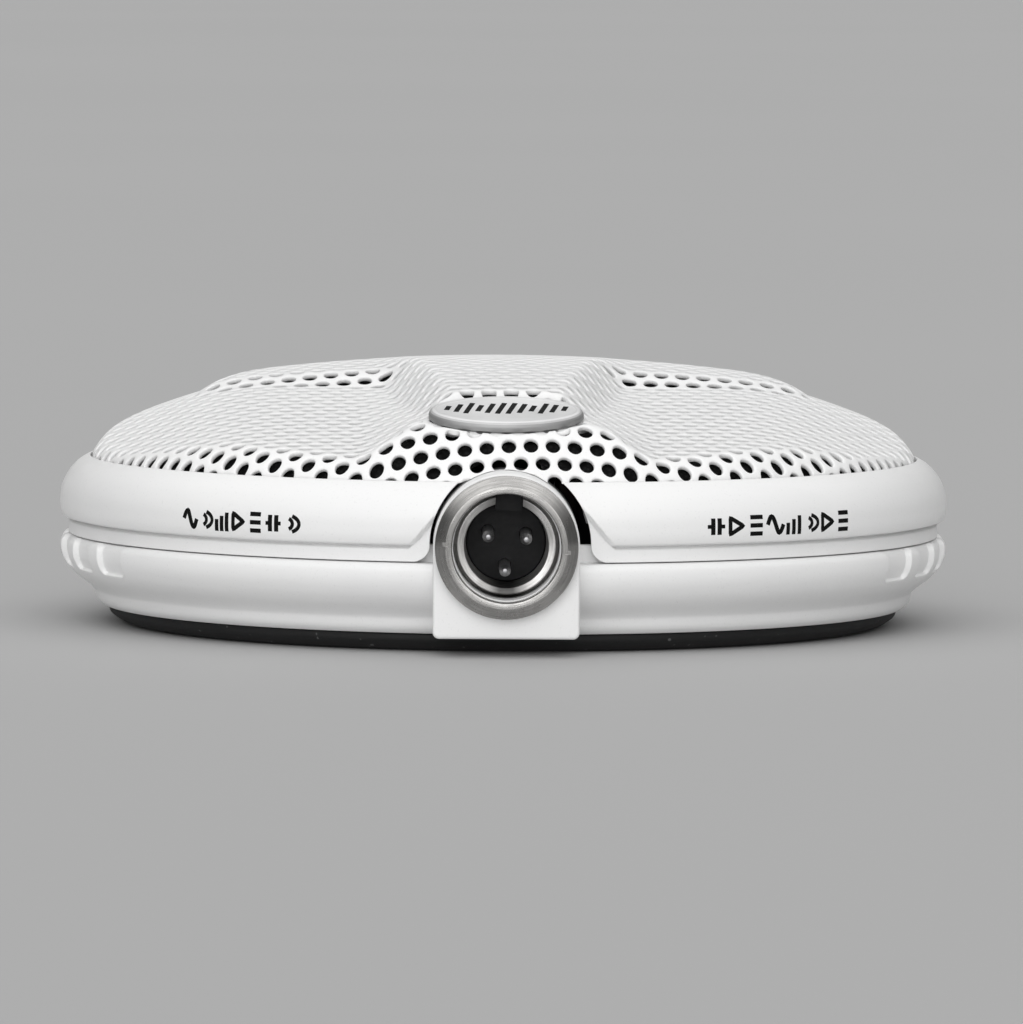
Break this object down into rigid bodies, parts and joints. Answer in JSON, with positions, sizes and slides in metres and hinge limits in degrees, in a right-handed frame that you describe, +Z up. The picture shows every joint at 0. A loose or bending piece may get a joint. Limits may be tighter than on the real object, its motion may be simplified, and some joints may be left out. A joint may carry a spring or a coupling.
{
  "type": "desktop boundary microphone",
  "caption": "Low round table-top boundary microphone with a domed perforated grille, a rubber foot and a miniature three-contact output connector.",
  "frame": {"origin": "centre of the rubber foot's underside, where the microphone rests on the table", "axes": "+Z up out of the table, -Y the way the output connector faces, +Y the way the capsule faces, +X to the right when the connector faces the viewer"},
  "size_m": [0.08, 0.0827, 0.0238],
  "materials": {
    "housing": "fine white powder coat on die casting, satin",
    "grille": "white powder coat on perforated steel sheet, satin",
    "rubber": "matt black moulded rubber",
    "nickel": "turned and satin nickel plated",
    "black_plastic": "black moulded plastic",
    "badge": "satin face with a bright bevelled rim",
    "steel": "zinc plated",
    "gold": "gold flashed",
    "foam": "open cell foam and felt",
    "laminate": "solder resist on glass laminate",
    "aluminium": "drawn can, satin",
    "film_box": "moulded box",
    "insulation": "extruded wire insulation"
  },
  "bodies": {
    "root": {"badge": "badge", "base_housing": "housing", "base_pad": "rubber", "upper_shell": "housing", "grille": "grille", "grille_liner": "foam", "grille_retaining_ring": "steel", "connector_nut": "nickel", "connector_shell": "nickel", "connector_washer": "steel", "connector_insert": "black_plastic", "contact_pin_1": "gold", "contact_pin_2": "gold", "contact_pin_3": "gold", "housing_screw_1": "steel", "housing_screw_2": "steel", "housing_screw_3": "steel", "board_screw_1": "steel", "board_screw_2": "steel", "board_screw_3": "steel", "bracket_screw_1": "steel", "bracket_screw_2": "steel", "circuit_board": "laminate", "electrolytic_capacitor_1": "aluminium", "electrolytic_capacitor_2": "aluminium", "electrolytic_capacitor_3": "aluminium", "film_capacitor": "film_box", "transistor": "black_plastic", "resistor_network": "black_plastic", "capsule_header": "black_plastic", "output_header": "black_plastic", "capsule_can": "aluminium", "capsule_felt": "foam", "diaphragm_ring": "gold", "capsule_backplate": "gold", "capsule_insulator": "black_plastic", "capsule_board": "laminate", "capsule_shock_mount": "rubber", "capsule_bracket": "steel", "capsule_lead_1": "insulation", "capsule_lead_2": "insulation", "output_lead_1": "insulation", "output_lead_2": "insulation", "output_lead_3": "insulation"}
  },
  "joints": []
}
